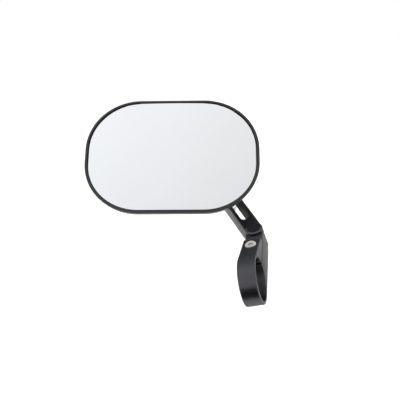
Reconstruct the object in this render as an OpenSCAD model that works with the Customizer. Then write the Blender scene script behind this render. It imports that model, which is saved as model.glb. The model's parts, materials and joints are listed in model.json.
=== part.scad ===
// Handlebar mirror for a bicycle: split clamp, slotted arm, ball joint and convex mirror head.
// The origin is on the axis of the handlebar, in the middle of the clamp's width.
// +X runs along the bar to the right, +Y points ahead of the rider and +Z points up.

/* [Handlebar clamp] */
// Diameter of the handlebar that the clamp grips
bar_d = 31.8; // [25:0.1:36]
// Wall of the clamp ring
ring_wall = 2.4; // [2:0.1:4]
// Width of the ring, the jaws and the neck along the bar
clamp_w = 13.2; // [12:0.1:18]
// Gap of the slit between the two jaws
slit_gap = 1.6; // [1:0.1:2.4]
// Chamfer on the long edges of the machined pieces
edge_chamfer = 0.5; // [0.2:0.1:0.8]
// Slope of the front jaw's face against the slit
jaw_taper = 20.2; // [16:0.2:24]
// Length of the front jaw past the clamp screw's centre
jaw_end = 10.2; // [8:0.2:12]

/* [Clamp screw] */
// Distance of the clamp screw from the surface of the bar
screw_offset = 12.4; // [10:0.2:16]
// Thread diameter of the clamp screw
screw_d = 5; // [4:0.5:6]
// Head diameter of the clamp screw
screw_head_d = 8.6; // [8:0.1:10]
// Head height of the clamp screw
screw_head_h = 2.8; // [2:0.1:4]
// Length of thread in the rear jaw
screw_bite = 12; // [8:0.5:14]

/* [Neck and elbow] */
// Slope of the arm's plane above the horizontal
plate_lean = 38.5; // [20:0.5:60]
// Front face of the neck ahead of the slit's middle plane
neck_front = 1.0; // [0.9:0.1:2]
// Distance from the middle of the clamp screw to the elbow's axis
elbow_offset = 25.4; // [22:0.2:34]
// Thickness of the tongue in the elbow
tongue_t = 7; // [5:0.1:8]
// Diameter of the elbow bolt's shank
pivot_d = 6; // [5:0.5:6]
// Wall of the plain bush in the tongue
bush_wall = 1; // [0.8:0.1:1.2]
// Thickness of each friction washer
friction_t = 0.8; // [0.5:0.1:1]
// Head diameter of the elbow bolt
pivot_head_d = 9; // [8:0.1:9.2]
// Metal of the fork under the elbow bolt's head and under its nut
cheek_floor = 2; // [1.6:0.1:2.6]
// Head height of the elbow bolt
pivot_head_h = 2.2; // [1.8:0.1:2.4]
// Height of the round boss that stands on the arm's front at the elbow
knuckle_h = 1.8; // [1:0.1:2.4]
// Chamfer round that boss
knuckle_chamfer = 1; // [0.5:0.1:1.2]
// Diameter of the round cap over the elbow bolt
cap_d = 10.8; // [10:0.1:10.8]
// Thickness of the cap on the boss
cap_h = 0.6; // [0.4:0.1:1]

/* [Arm] */
// Swing of the arm towards the left at rest
arm_swing = 25.7; // [0:0.5:35]
// Width of the arm
arm_w = 13; // [12.6:0.1:15.6]
// Width of the slot
slot_w = 7.2; // [6.4:0.1:8]
// Distance from the elbow's axis to the lower end of the slot
slot_start = 15.4; // [12:0.2:19]
// Length of the slot
slot_len = 64.8; // [60:0.2:80]
// Metal past the upper end of the slot
arm_end = 3.4; // [2.5:0.1:6]

/* [Slider and ball stud] */
// Distance from the elbow's axis to the stud at rest
stud_reach = 66; // [54:0.5:68]
// Thread diameter of the stud
stud_d = 6; // [5:0.5:6]
// Length of the guide block in the slot
guide_len = 12; // [10:0.5:14]
// Thickness of each slider washer
washer_t = 1.2; // [0.8:0.1:1.6]
// Diameter of each slider washer
washer_d = 12.4; // [11:0.1:13]
// Height of the ball's centre above the arm
ball_height = 22.6; // [20:0.1:28]
// Diameter of the ball
ball_d = 15; // [12.5:0.1:18]
// Diameter of the stud's neck under the ball
neck_d = 5.4; // [5:0.1:6]
// Diameter of the stud's hexagonal flange across the flats
flange_af = 10; // [9:0.5:11]
// Thickness of the stud's flange
flange_t = 3; // [2:0.1:4]

/* [Ball socket] */
// Wall of the nylon seat round the ball
seat_wall = 2; // [1.5:0.1:2.5]
// Half angle of the opening that the stud passes through
socket_open = 46; // [40:1:50]
// Wall of the socket outside the seat
socket_wall = 2.4; // [2:0.1:3]
// Diameter of the three socket screws
socket_screw_d = 2.5; // [2:0.1:3]
// Wall between the ball's seat and the back of the backing plate
socket_floor = 1.8; // [1.2:0.1:4]

/* [Mirror head] */
// Width of the head
head_w = 137.8; // [114:0.2:166]
// Height of the head
head_h = 99; // [82:0.2:118]
// Corner radius of the head
head_r = 43.6; // [34:0.2:45]
// Width of the black rim seen from the front
rim_w = 2.8; // [2.4:0.1:5]
// Height of the bezel's front above the crown of the glass
rim_h = -0.4; // [-0.6:0.1:1]
// Radius of curvature of the convex glass
glass_radius = 1200; // [1000:50:2000]
// Thickness of the glass
glass_t = 2.5; // [2:0.1:3]
// Edge of the glass held under the bezel's lip
lip_w = 0.7; // [0.5:0.1:1]
// Thickness of the foam pad at the far corners of the glass
pad_edge_t = 0.9; // [0.5:0.1:2]
// Draft of the bezel's side, inwards towards the back
side_draft = 1.1; // [0.6:0.1:1.4]
// Thickness of the backing plate
plate_t = 2; // [1.6:0.1:3]
// Depth of the rear housing behind the bezel
housing_depth = 6.8; // [6.4:0.1:8.6]
// Wall of the rear housing
shell_wall = 2.2; // [1.8:0.1:2.6]
// Diameter of the four plate screws
plate_screw_d = 3; // [2.5:0.1:3.5]

/* [Head position] */
// Lean of the mirror's face, 90 is upright
head_lean = 65.5; // [60:0.5:75]
// Sideways roll of the head
head_roll = 9.9; // [0:0.1:14]
// Turn of the head towards the rider
head_yaw = 12.3; // [5:0.1:18]
// Distance of the ball from the middle of the glass, across
ball_off_x = 33.4; // [28:0.1:38]
// Distance of the ball below the middle of the glass
ball_off_y = 0; // [-4:0.1:8]

/* [Hidden] */
$fn = 96;

// Clearances and small fits
run_fit = 0.05;    // running fit of a shaft in its bore, on the radius
slide_fit = 0.1;   // free sliding fit, each side
face_gap = 0.1;    // gap between faces that turn on each other
swing_gap = 0.4;   // gap round the elbow's round end
part_gap = 0.3;    // gap between pieces that only pass each other
eps = 0.01;        // overshoot of a cut past a face
far = 200;         // reach of a cut that must pass right through

// Clamp and neck
bar_r = bar_d / 2;
ring_r = bar_r + ring_wall;
screw_reach = bar_r + screw_offset;
jaw_reach = screw_reach + jaw_end;
elbow_reach = screw_reach + elbow_offset;
jaw_foot_e = ring_r * sin(jaw_taper);
jaw_foot_n = ring_r * cos(jaw_taper);
plate_back = -ring_r;
plate_mid = (neck_front + plate_back) / 2;
screw_proud = 0.3;
screw_top = jaw_face(screw_reach) + screw_proud;
screw_seat = screw_top - screw_head_h;
screw_gap = 0.25;
spot_gap = 0.4;
screw_head_chamfer = 0.6;
drive_depth = 2;
drive_share = 0.33;   // radius of the drive, as a share of the screw
lobe_share = 0.3;     // radius of a lobe, as a share of the drive
drive_r = screw_d * drive_share;

// Elbow
round_r = arm_w / 2;
seat_r = round_r + swing_gap;
horn_drop = 3.9;   // how far the round seat's ends stop short of the elbow's axis
fork_gap = tongue_t + 2 * friction_t + 2 * face_gap;
tongue_inset = 0.2;
friction_inset = 0.5;
tongue_r = round_r - tongue_inset;
friction_r = tongue_r - friction_inset;
pivot_r = pivot_d / 2;
bush_r = pivot_r + run_fit + bush_wall;
pocket_r = pivot_head_d / 2 + swing_gap;
cheek_t = (neck_front - plate_back - fork_gap) / 2;
pocket_floor = neck_front - cheek_t + cheek_floor;
nut_floor = plate_back + cheek_t - cheek_floor;
nut_inset = 0.4;
nut_af = 8;
pivot_key = 4;
key_depth = 1.6;
knuckle_top = neck_front + knuckle_h;
cap_chamfer = 0.3;

// Arm
slot_r = slot_w / 2;
slot_low = slot_start + slot_r;
slot_high = slot_start + slot_len - slot_r;
arm_tip = slot_start + slot_len + arm_end - round_r;

// Slider
ball_n = neck_front + ball_height;
ball_r = ball_d / 2;
guide_r = slot_r - slide_fit;
guide_end = guide_len / 2 - guide_r;
stud_r = stud_d / 2;
lock_nut_h = 6;
lock_nut_af = 10;
stud_tail = 2;
washer_gap = 0.05;

// Socket
seat_in_r = ball_r + run_fit;
seat_out_r = seat_in_r + seat_wall;
cup_r = seat_out_r + run_fit;
seat_split = 0.15;
ring_t = cup_r * cos(socket_open);   // the ring ends where its opening meets the cup
screw_land = 1.7;
ring_edge = 1;
boss_r = cup_r + socket_wall + socket_screw_d + screw_land - ring_edge / 2;
socket_screw_r = boss_r - socket_screw_d / 2 - screw_land;
socket_screw_len = 5.4;   // depth of the socket screws' holes in the housing
socket_key = 1.5;
socket_key_depth = 1;
socket_head_h = 1.6;
socket_head_r = socket_screw_d;
socket_head_sink = 0.2;
socket_head_z = -ring_t + socket_head_h + socket_head_sink;

// Head
side_min = 1;   // least half length of a straight side
corner_r = min(head_r, min(head_w, head_h) / 2 - side_min);
glass_w = head_w - 2 * rim_w + 2 * lip_w;
glass_h = head_h - 2 * rim_w + 2 * lip_w;
glass_r = corner_r - rim_w + lip_w;
glass_fit = 0.15;
glass_reach = norm([glass_w / 2 - glass_r, glass_h / 2 - glass_r]) + glass_r;
glass_sag = glass_radius - sqrt(pow(glass_radius, 2) - pow(glass_reach, 2));
plate_front = -(glass_sag + glass_t + pad_edge_t);
bezel_depth = part_gap - plate_front;   // depth of the bezel behind the crown of the glass
plate_back_z = plate_front - plate_t;
head_depth = bezel_depth + housing_depth;
ball_depth = part_gap - plate_back_z + socket_floor + cup_r;
plate_margin = 1.2;
plate_inset = rim_w + plate_margin;
pad_margin = 1;
post_root = 0.4;
post_wall = 1.8;
post_r = plate_screw_d / 2 + post_wall;
plate_head_r = plate_screw_d;
plate_floor = 0.7;   // what is left of the plate under a screw's head
plate_head_h = plate_t - plate_floor;
plate_key = 2;
plate_key_depth = 0.8;
post_offset = 18;
post_x = head_w / 2 - corner_r + post_offset;
post_y = head_h / 2 - corner_r + post_offset;
plate_screw_len = plate_front + head_depth - shell_wall - part_gap;
curve_steps = 8;
crown_steps = 16;
back_round = 12;
rim_round = 0.9;
waist_draft = 1 / 3;   // the bezel's draft at its waist, as a share of its draft at the back
waist_depth = 0.6;     // depth of that waist, as a share of the bezel's depth
front_corner = [[0.3, 0.6], [0.8, 0.15], [1.4, 0]];   // from the side: how far in, and how far down
lip_corner = [[0.7, 0], [0.2, 0.3], [0, 0.9]];        // from the lip's edge: how far out, and how far down

// Position of the ball in the frame of the whole part
ball_x = -stud_reach * sin(arm_swing);
ball_e = elbow_reach + stud_reach * cos(arm_swing);
ball_y = ball_e * cos(plate_lean) - ball_n * sin(plate_lean);
ball_z = ball_e * sin(plate_lean) + ball_n * cos(plate_lean);

// Height of the front jaw's face above the slit, at a distance from the bar's axis
function jaw_face(reach) = jaw_foot_n - (reach - jaw_foot_e) * tan(jaw_taper);

// Frame of the clamp's plate: x along the bar, y up along the jaws, z out of the front face
module plate_frame() {
  rotate([plate_lean, 0, 0]) children();
}

// Frame of the arm: origin on the elbow's axis, y along the slot, z out of the front face
module arm_frame() {
  plate_frame() translate([0, elbow_reach, 0]) rotate([0, 0, arm_swing]) children();
}

// Frame of the slider: the arm's frame moved up to the stud
module slider_frame() {
  arm_frame() translate([0, stud_reach, 0]) children();
}

// Frame of the ball: origin at the ball's centre, z along the stud
module ball_frame() {
  slider_frame() translate([0, 0, ball_n]) children();
}

// Frame of the head: origin at the crown of the glass, x to the right, z towards the rider
module head_frame() {
  translate([ball_x, ball_y, ball_z])
    rotate([head_lean, head_roll, head_yaw])
      translate([-ball_off_x, ball_off_y, ball_depth]) children();
}

// Cylinder between two heights
module rod(r, z0, z1) {
  translate([0, 0, z0]) cylinder(r = r, h = z1 - z0);
}

// Cylinder between two heights with a chamfered top edge
module chamfered_rod(r, z0, z1, c) {
  rotate_extrude()
    polygon([[0, z0], [r, z0], [r, z1 - c], [r - c, z1], [0, z1]]);
}

// Hexagonal prism between two heights
module hex_rod(across_flats, z0, z1) {
  translate([0, 0, z0]) cylinder(d = across_flats / cos(30), h = z1 - z0, $fn = 6);
}

// Bar of width w and thickness from z0 to z1 along +Y, with chamfered long edges
module chamfered_bar(w, y0, y1, z0, z1, c) {
  translate([0, y1, 0]) rotate([90, 0, 0]) linear_extrude(y1 - y0)
    polygon([[-w / 2 + c, z0], [w / 2 - c, z0], [w / 2, z0 + c], [w / 2, z1 - c],
             [w / 2 - c, z1], [-w / 2 + c, z1], [-w / 2, z1 - c], [-w / 2, z0 + c]]);
}

// Round bar end, chamfered like the bar that it closes
module chamfered_round(r, z0, z1, c) {
  rotate_extrude()
    polygon([[0, z0], [r - c, z0], [r, z0 + c], [r, z1 - c], [r - c, z1], [0, z1]]);
}

// Rounded rectangle with circular corners
module outline(w, h, r) {
  square([w, h - 2 * r], center = true);
  square([w - 2 * r, h], center = true);
  for (sx = [-1, 1], sy = [-1, 1])
    translate([sx * (w / 2 - r), sy * (h / 2 - r)]) circle(r = r);
}

// Slab of the head's outline, drawn in by an inset, between two heights
module head_slab(inset, z0, z1) {
  translate([0, 0, z0]) linear_extrude(z1 - z0)
    outline(head_w - 2 * inset, head_h - 2 * inset, corner_r - inset);
}

// Section swept once round the head's outline, given as [inset, height] points
module rim_sweep(points) {
  section = [for (p = points) [corner_r - p[0], p[1]]];
  side_w = head_w - 2 * corner_r;
  side_h = head_h - 2 * corner_r;
  for (corner = [[1, 1, 0], [-1, 1, 90], [-1, -1, 180], [1, -1, 270]])
    translate([corner[0] * side_w / 2, corner[1] * side_h / 2, 0])
      rotate([0, 0, corner[2]]) rotate_extrude(angle = 90) polygon(section);
  for (side = [[side_h, 0, side_w], [side_w, 90, side_h], [side_h, 180, side_w], [side_w, 270, side_h]])
    rotate([0, 0, side[1]]) translate([side[2] / 2, side[0] / 2, 0]) rotate([90, 0, 0])
      linear_extrude(side[0]) polygon(section);
}

// Quarter ellipse from the side wall to the flat back, given as [inset, height] points
function back_curve(inset, depth_start, across, down) =
  [for (i = [0:curve_steps]) let (t = 90 * i / curve_steps)
    [inset + across * (1 - cos(t)), -depth_start - down * sin(t)]];

// Places for the three socket screws
module at_socket_screws() {
  for (turn = [30, 150, 270]) rotate([0, 0, turn]) translate([socket_screw_r, 0, 0]) children();
}

// Places for the four plate screws
module at_plate_screws() {
  for (sx = [-1, 1], sy = [-1, 1]) translate([sx * post_x, sy * post_y, 0]) children();
}

// Front jaw as a tapered block with its free end rounded over
module front_jaw() {
  half = clamp_w / 2;
  slope_len = (jaw_reach - jaw_foot_e) / cos(jaw_taper);
  difference() {
    rotate([90, 0, 90]) translate([0, 0, -half]) linear_extrude(clamp_w)
      polygon([[0, 0], [0, ring_r - edge_chamfer], [jaw_foot_e, jaw_foot_n],
               [jaw_reach, jaw_face(jaw_reach)], [jaw_reach, 0]]);
    for (side = [-1, 1])
      translate([side * half, jaw_foot_e, jaw_foot_n]) rotate([-jaw_taper, 0, 0])
        rotate([0, 45, 0])
          cube([edge_chamfer * sqrt(2), 3 * slope_len, edge_chamfer * sqrt(2)], center = true);
    translate([0, jaw_reach, jaw_face(jaw_reach)]) rotate([45 - jaw_taper / 2, 0, 0])
      cube([far, 2 * edge_chamfer, 2 * edge_chamfer], center = true);
  }
}

// Clearance for the arm's fork at the elbow, between two heights
module elbow_seat(z0, z1) {
  rod(seat_r, z0, z1);
  translate([-far / 2, -horn_drop, z0]) cube([far, far, z1 - z0]);
}

// Slot or block with round ends, along +Y between two centres
module round_ended(y0, y1, r, z0, z1) {
  translate([-r, y0, z0]) cube([2 * r, y1 - y0, z1 - z0]);
  for (y = [y0, y1]) translate([0, y, 0]) rod(r, z0, z1);
}

// One-piece clamp: ring, jaws, neck and the tongue of the elbow
module clamp_body() {
  color("#2b2b2d") plate_frame() difference() {
    union() {
      rotate([0, 90, 0]) translate([0, 0, -clamp_w / 2]) chamfered_round(ring_r, 0, clamp_w, edge_chamfer);
      chamfered_bar(clamp_w, 0, elbow_reach, plate_back, neck_front, edge_chamfer);
      front_jaw();
      translate([0, elbow_reach, 0]) rod(tongue_r, plate_mid - tongue_t / 2, plate_mid + tongue_t / 2);
    }
    // bore for the bar
    rotate([0, 90, 0]) cylinder(r = bar_r, h = far, center = true);
    // slit between the jaws, open past the end of the front jaw
    translate([-far / 2, 0, -slit_gap / 2]) cube([far, jaw_reach + slit_gap, slit_gap]);
    translate([-far / 2, jaw_reach, -slit_gap / 2]) cube([far, slit_gap, far]);
    // hole, spot face and thread for the clamp screw
    translate([0, screw_reach, 0]) {
      rod(screw_d / 2 + screw_gap, 0, far);
      rod(screw_head_d / 2 + spot_gap, screw_seat, far);
      rod(screw_d / 2, -slit_gap / 2 - screw_bite, 0);
    }
    // round seats for the arm's fork in front of the tongue and behind it, and the bush
    translate([0, elbow_reach, 0]) {
      elbow_seat(plate_mid + tongue_t / 2, far);
      elbow_seat(-far, plate_mid - tongue_t / 2);
      rod(bush_r, -far, far);
    }
  }
}

// Socket-head screw of the clamp, with a six-lobed drive
module clamp_screw() {
  color("silver") plate_frame() translate([0, screw_reach, 0]) difference() {
    union() {
      rod(screw_d / 2, -slit_gap / 2 - screw_bite, screw_top - drive_depth);
      chamfered_rod(screw_head_d / 2, screw_seat, screw_top, screw_head_chamfer);
    }
    // six-lobed drive
    rod(drive_r, screw_top - drive_depth, far);
    for (turn = [0:60:300]) rotate([0, 0, turn])
      translate([drive_r, 0, 0]) rod(drive_r * lobe_share, screw_top - drive_depth, far);
  }
}

// Plain bush pressed into the tongue
module pivot_bush() {
  color("#8a6f45") arm_frame() difference() {
    rod(bush_r, plate_mid - tongue_t / 2, plate_mid + tongue_t / 2);
    rod(pivot_r + run_fit, -far, far);
  }
}

// Two friction washers, one on each face of the tongue
module friction_washers() {
  color("#d8d2c0") arm_frame() for (side = [-1, 1])
    translate([0, 0, plate_mid + side * (tongue_t + friction_t) / 2]) difference() {
      cylinder(r = friction_r, h = friction_t, center = true);
      cylinder(r = pivot_r + run_fit, h = far, center = true);
    }
}

// Arm with its long slot, its round tip and the fork that holds the tongue
module slot_arm() {
  color("#2b2b2d") arm_frame() difference() {
    union() {
      chamfered_round(round_r, plate_back, neck_front, edge_chamfer);
      chamfered_bar(arm_w, 0, arm_tip, plate_back, neck_front, edge_chamfer);
      translate([0, arm_tip, 0]) chamfered_round(round_r, plate_back, neck_front, edge_chamfer);
      chamfered_rod(round_r, neck_front - edge_chamfer, knuckle_top, knuckle_chamfer);
    }
    // slot
    round_ended(slot_low, slot_high, slot_r, -far, far);
    // fork gap, wide enough for the tongue at each end of the swing
    rod(seat_r, plate_mid - fork_gap / 2, plate_mid + fork_gap / 2);
    translate([-far / 2, -far, plate_mid - fork_gap / 2]) cube([far, far + horn_drop, fork_gap]);
    // bolt hole, and pockets for the head and the nut
    rod(pivot_r, -far, far);
    rod(pocket_r, pocket_floor, far);
    rod(pocket_r, -far, nut_floor);
  }
}

// Bolt of the elbow, pressed into the arm's fork
module pivot_bolt() {
  color("silver") arm_frame() difference() {
    union() {
      rod(pivot_r, plate_back + nut_inset, pocket_floor + pivot_head_h);
      rod(pivot_head_d / 2, pocket_floor, pocket_floor + pivot_head_h);
    }
    hex_rod(pivot_key, pocket_floor + pivot_head_h - key_depth, far);
  }
}

// Nut on the rear end of the elbow bolt
module pivot_nut() {
  color("silver") arm_frame() difference() {
    hex_rod(nut_af, plate_back + nut_inset, nut_floor);
    rod(pivot_r, -far, far);
  }
}

// Round cap over the head of the elbow bolt
module pivot_cap() {
  color("#17181a") arm_frame() {
    chamfered_rod(cap_d / 2, knuckle_top, knuckle_top + cap_h, cap_chamfer);
    rod(pocket_r, pocket_floor + pivot_head_h + part_gap, knuckle_top);
  }
}

// Guide block that keeps the stud square in the slot
module guide_block() {
  color("#3a3b3d") slider_frame() difference() {
    round_ended(-guide_end, guide_end, guide_r, plate_back + part_gap, neck_front - part_gap);
    rod(stud_r, -far, far);
  }
}

// Washer of the slider, with its lower face at a height
module slider_washer(z) {
  slider_frame() difference() {
    rod(washer_d / 2, z, z + washer_t);
    rod(stud_r, -far, far);
  }
}

// Washer between the arm and the stud's flange
module front_washer() {
  color("#1d1e20") slider_washer(neck_front + washer_gap);
}

// Washer behind the arm
module rear_washer() {
  color("silver") slider_washer(plate_back - washer_gap - washer_t);
}

// Lock nut behind the arm
module lock_nut() {
  top = plate_back - washer_gap - washer_t;
  color("silver") slider_frame() difference() {
    hex_rod(lock_nut_af, top - lock_nut_h, top);
    rod(stud_r, -far, far);
  }
}

// Stud with its ball, neck and hexagonal flange
module ball_stud() {
  flange_z = neck_front + washer_gap + washer_t;
  tail_z = plate_back - washer_gap - washer_t - lock_nut_h - stud_tail;
  color("silver") slider_frame() {
    rod(stud_r, tail_z, flange_z + flange_t);
    hex_rod(flange_af, flange_z, flange_z + flange_t);
    rod(neck_d / 2, flange_z, ball_n);
    translate([0, 0, ball_n]) sphere(r = ball_r);
  }
}

// Spherical shell round the ball, open towards the arm
module seat_shell() {
  ball_frame() difference() {
    sphere(r = seat_out_r);
    sphere(r = seat_in_r);
    socket_mouth();
  }
}

// Cone that the stud's neck moves in
module socket_mouth() {
  rotate_extrude() polygon([[0, 0], [0, -far], [far * tan(socket_open), -far]]);
}

// Front half of the nylon seat
module ball_seat_front() {
  color("#e8e4d8") intersection() {
    seat_shell();
    ball_frame() rod(far, seat_split / 2, far);
  }
}

// Rear half of the nylon seat
module ball_seat_rear() {
  color("#e8e4d8") intersection() {
    seat_shell();
    ball_frame() rod(far, -far, -seat_split / 2);
  }
}

// Ring that closes the socket from behind
module socket_ring() {
  color("#232426") ball_frame() difference() {
    rotate_extrude()
      polygon([[0, 0], [boss_r, 0], [boss_r, ring_edge - ring_t],
               [boss_r - ring_edge, -ring_t], [0, -ring_t]]);
    sphere(r = cup_r);
    socket_mouth();
    at_socket_screws() {
      rod(socket_screw_d / 2, -far, far);
      rod(socket_head_r, -far, socket_head_z);
    }
  }
}

// Three screws that hold the socket ring
module socket_screws() {
  color("silver") ball_frame() at_socket_screws() difference() {
    union() {
      rod(socket_screw_d / 2, socket_head_z - socket_head_h, socket_screw_len - part_gap);
      rod(socket_head_r - slide_fit, socket_head_z - socket_head_h, socket_head_z);
    }
    hex_rod(socket_key, -far, socket_head_z - socket_head_h + socket_key_depth);
  }
}

// Rear housing: a rounded dish with the socket's boss and four posts
module mirror_housing() {
  across = back_round - side_draft;
  outer = back_curve(side_draft, bezel_depth, across, housing_depth);
  inner = back_curve(side_draft + shell_wall, bezel_depth, across - shell_wall, housing_depth - shell_wall);
  reversed = [for (i = [curve_steps:-1:0]) inner[i]];
  color("#1c1d1f") {
    difference() {
      union() {
        head_frame() {
          rim_sweep(concat(outer, reversed));
          head_slab(back_round - eps, -head_depth, -head_depth + shell_wall);
        }
        socket_boss();
      }
      ball_frame() {
        sphere(r = cup_r);
        rod(boss_r + part_gap, -far, 0);
        at_socket_screws() rod(socket_screw_d / 2, -eps, socket_screw_len);
      }
    }
    head_frame() at_plate_screws() difference() {
      rod(post_r, -head_depth + shell_wall - post_root, plate_back_z);
      rod(plate_screw_d / 2, -head_depth + shell_wall, far);
    }
  }
}

// Boss that carries the front half of the ball socket
module socket_boss() {
  intersection() {
    ball_frame() rod(boss_r, 0, ball_depth);
    head_frame() head_slab(plate_inset, -far, plate_back_z - part_gap);
  }
}

// Plate that stiffens the head behind the glass
module backing_plate() {
  color("#34363a") head_frame() difference() {
    head_slab(plate_inset, plate_back_z, plate_front);
    at_plate_screws() {
      rod(plate_screw_d / 2, -far, far);
      rod(plate_head_r, plate_front - plate_head_h, far);
    }
  }
}

// Four screws that hold the backing plate to the housing
module plate_screws() {
  color("silver") head_frame() at_plate_screws() difference() {
    union() {
      rod(plate_screw_d / 2, plate_front - plate_screw_len, plate_front - slide_fit);
      rod(plate_head_r - slide_fit, plate_front - plate_head_h, plate_front - slide_fit);
    }
    hex_rod(plate_key, plate_front - plate_key_depth, far);
  }
}

// Solid under the glass's curve, drawn in by a depth
module crown(depth) {
  radius = glass_radius - depth;
  reach = asin(head_w / radius);
  rotate_extrude() polygon(concat([[0, -far]],
    [for (i = [0:crown_steps]) let (t = reach * (1 - i / crown_steps))
      [radius * sin(t), radius * cos(t) - glass_radius]]));
}

// Foam pad that bonds the glass to the backing plate
module glass_pad() {
  color("#222222") head_frame() intersection() {
    translate([0, 0, plate_front]) linear_extrude(bezel_depth)
      outline(glass_w - 2 * pad_margin, glass_h - 2 * pad_margin, glass_r - pad_margin);
    crown(glass_t);
  }
}

// Convex mirror glass
module mirror_glass() {
  color("#dfe3e6") head_frame() difference() {
    intersection() {
      translate([0, 0, -bezel_depth]) linear_extrude(bezel_depth + eps) outline(glass_w, glass_h, glass_r);
      crown(0);
    }
    crown(glass_t);
  }
}

// Bezel round the glass, with a rounded front and a lip over the glass's edge
module bezel() {
  outside = [[side_draft, -bezel_depth], [side_draft * waist_draft, -bezel_depth * waist_depth],
             [0, rim_h - 2 * rim_round]];
  front = [for (p = front_corner) [p[0], rim_h - p[1]]];
  lip = [for (p = lip_corner) [rim_w - p[0], rim_h - p[1]]];
  color("#17181a") head_frame() difference() {
    rim_sweep(concat(outside, front, lip, [[rim_w, -bezel_depth]]));
    intersection() {
      translate([0, 0, -far]) linear_extrude(2 * far)
        outline(glass_w + 2 * glass_fit, glass_h + 2 * glass_fit, glass_r + glass_fit);
      crown(-run_fit);
    }
  }
}

clamp_body();
clamp_screw();
pivot_bush();
friction_washers();
slot_arm();
pivot_bolt();
pivot_nut();
pivot_cap();
guide_block();
front_washer();
rear_washer();
lock_nut();
ball_stud();
ball_seat_front();
ball_seat_rear();
socket_ring();
socket_screws();
mirror_housing();
backing_plate();
plate_screws();
glass_pad();
mirror_glass();
bezel();
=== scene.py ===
"""Looks of a bicycle handlebar mirror: its finishes, rounded edges, studio and camera."""

import json
import logging
import math
from dataclasses import dataclass, field
from enum import Enum

import bmesh
import bpy
from mathutils import Matrix, Vector
from mathutils.bvhtree import BVHTree


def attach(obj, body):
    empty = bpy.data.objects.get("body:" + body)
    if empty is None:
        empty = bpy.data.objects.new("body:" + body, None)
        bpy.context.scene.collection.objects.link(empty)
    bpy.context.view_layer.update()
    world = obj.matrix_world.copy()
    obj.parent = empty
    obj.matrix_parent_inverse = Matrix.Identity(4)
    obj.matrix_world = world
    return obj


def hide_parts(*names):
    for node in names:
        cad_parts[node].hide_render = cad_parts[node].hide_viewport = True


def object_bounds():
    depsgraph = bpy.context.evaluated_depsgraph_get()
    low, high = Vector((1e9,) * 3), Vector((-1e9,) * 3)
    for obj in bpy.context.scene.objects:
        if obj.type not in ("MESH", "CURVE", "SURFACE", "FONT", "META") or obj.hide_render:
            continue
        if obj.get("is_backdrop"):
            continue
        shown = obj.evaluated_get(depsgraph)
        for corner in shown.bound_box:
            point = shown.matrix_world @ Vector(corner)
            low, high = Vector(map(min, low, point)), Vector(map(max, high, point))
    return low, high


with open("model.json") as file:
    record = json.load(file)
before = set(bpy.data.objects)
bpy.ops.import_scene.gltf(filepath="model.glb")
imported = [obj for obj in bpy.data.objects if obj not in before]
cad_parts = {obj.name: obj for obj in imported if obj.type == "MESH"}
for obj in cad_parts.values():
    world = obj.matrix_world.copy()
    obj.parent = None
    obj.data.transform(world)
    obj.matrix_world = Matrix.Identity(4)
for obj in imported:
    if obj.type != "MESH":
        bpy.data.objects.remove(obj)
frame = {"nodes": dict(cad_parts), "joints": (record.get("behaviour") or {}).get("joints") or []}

log = logging.getLogger("handlebar_mirror")
MM = 0.001
# Short names of Blender's types
Piece = bpy.types.Object
Tree = bpy.types.NodeTree
Socket = bpy.types.NodeSocket
# Corners nearer than this are one corner
MERGE_MM = 0.004
# Corners of a turned piece are never nearer than this, so nearer ones are doubles
TURNED_MERGE_MM = 0.002
# Radius over which a rubbed edge shows, and the cosines of the turn at which its wear starts and is full
WEAR_REACH_MM = 0.35
WEAR_TURN = (0.99, 0.86)
# Middle of the noise, which is stretched over a finish's whole range of gloss
NOISE_MIDDLE = (0.3, 0.7)
# Faces that meet at less than this are one face
FLAT_DEG = 0.6
# How much the neck widens where it meets the ball
NECK_FLARE_MM = 0.25
# Angle that is left open at the ball's pole, in radians
POLE_GAP = 0.02


class Body(str, Enum):
    """Rigid bodies of the mirror, as the frame names them."""

    CLAMP = "clamp"
    ARM = "arm"
    SLIDER = "slider"
    SEAT = "seat"
    HEAD = "head"


def linear(hex_colour: str) -> tuple[float, float, float, float]:
    """Turns an sRGB hex colour into linear light.

    Args:
        hex_colour: Six hex digits, with or without a leading hash.

    Returns:
        Red, green, blue and an alpha of one.
    """
    digits = hex_colour.lstrip("#")
    channels = [int(digits[i : i + 2], 16) / 255 for i in (0, 2, 4)]
    light = [c / 12.92 if c <= 0.04045 else ((c + 0.055) / 1.055) ** 2.4 for c in channels]
    return (light[0], light[1], light[2], 1.0)


def add_node(
    tree: Tree,
    kind: str,
    settings: dict[str, object] | None = None,
    sockets: dict[str | int, object] | None = None,
) -> bpy.types.Node:
    """Adds one shader node with its settings, values and links.

    Args:
        tree: Node tree that gets the node.
        kind: Blender's name of the node type.
        settings: Attributes of the node itself.
        sockets: Input sockets by name or number; an output socket is linked, anything else is a value.

    Returns:
        The new node.
    """
    node = tree.nodes.new(kind)
    for name, value in (settings or {}).items():
        setattr(node, name, value)
    for name, value in (sockets or {}).items():
        if isinstance(value, Socket):
            tree.links.new(value, node.inputs[name])
        else:
            node.inputs[name].default_value = value
    return node


def ramp(
    tree: Tree, value: Socket, source: tuple[float, float], target: tuple[float, float]
) -> Socket:
    """Maps a value from one range to another and holds it at both ends.

    Args:
        tree: Node tree that gets the node.
        value: Value that is mapped.
        source: Range that it comes in.
        target: Range that it goes out in.

    Returns:
        The mapped value.
    """
    sockets = {
        "Value": value,
        "From Min": source[0],
        "From Max": source[1],
        "To Min": target[0],
        "To Max": target[1],
    }
    return add_node(tree, "ShaderNodeMapRange", sockets=sockets).outputs[0]


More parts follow.
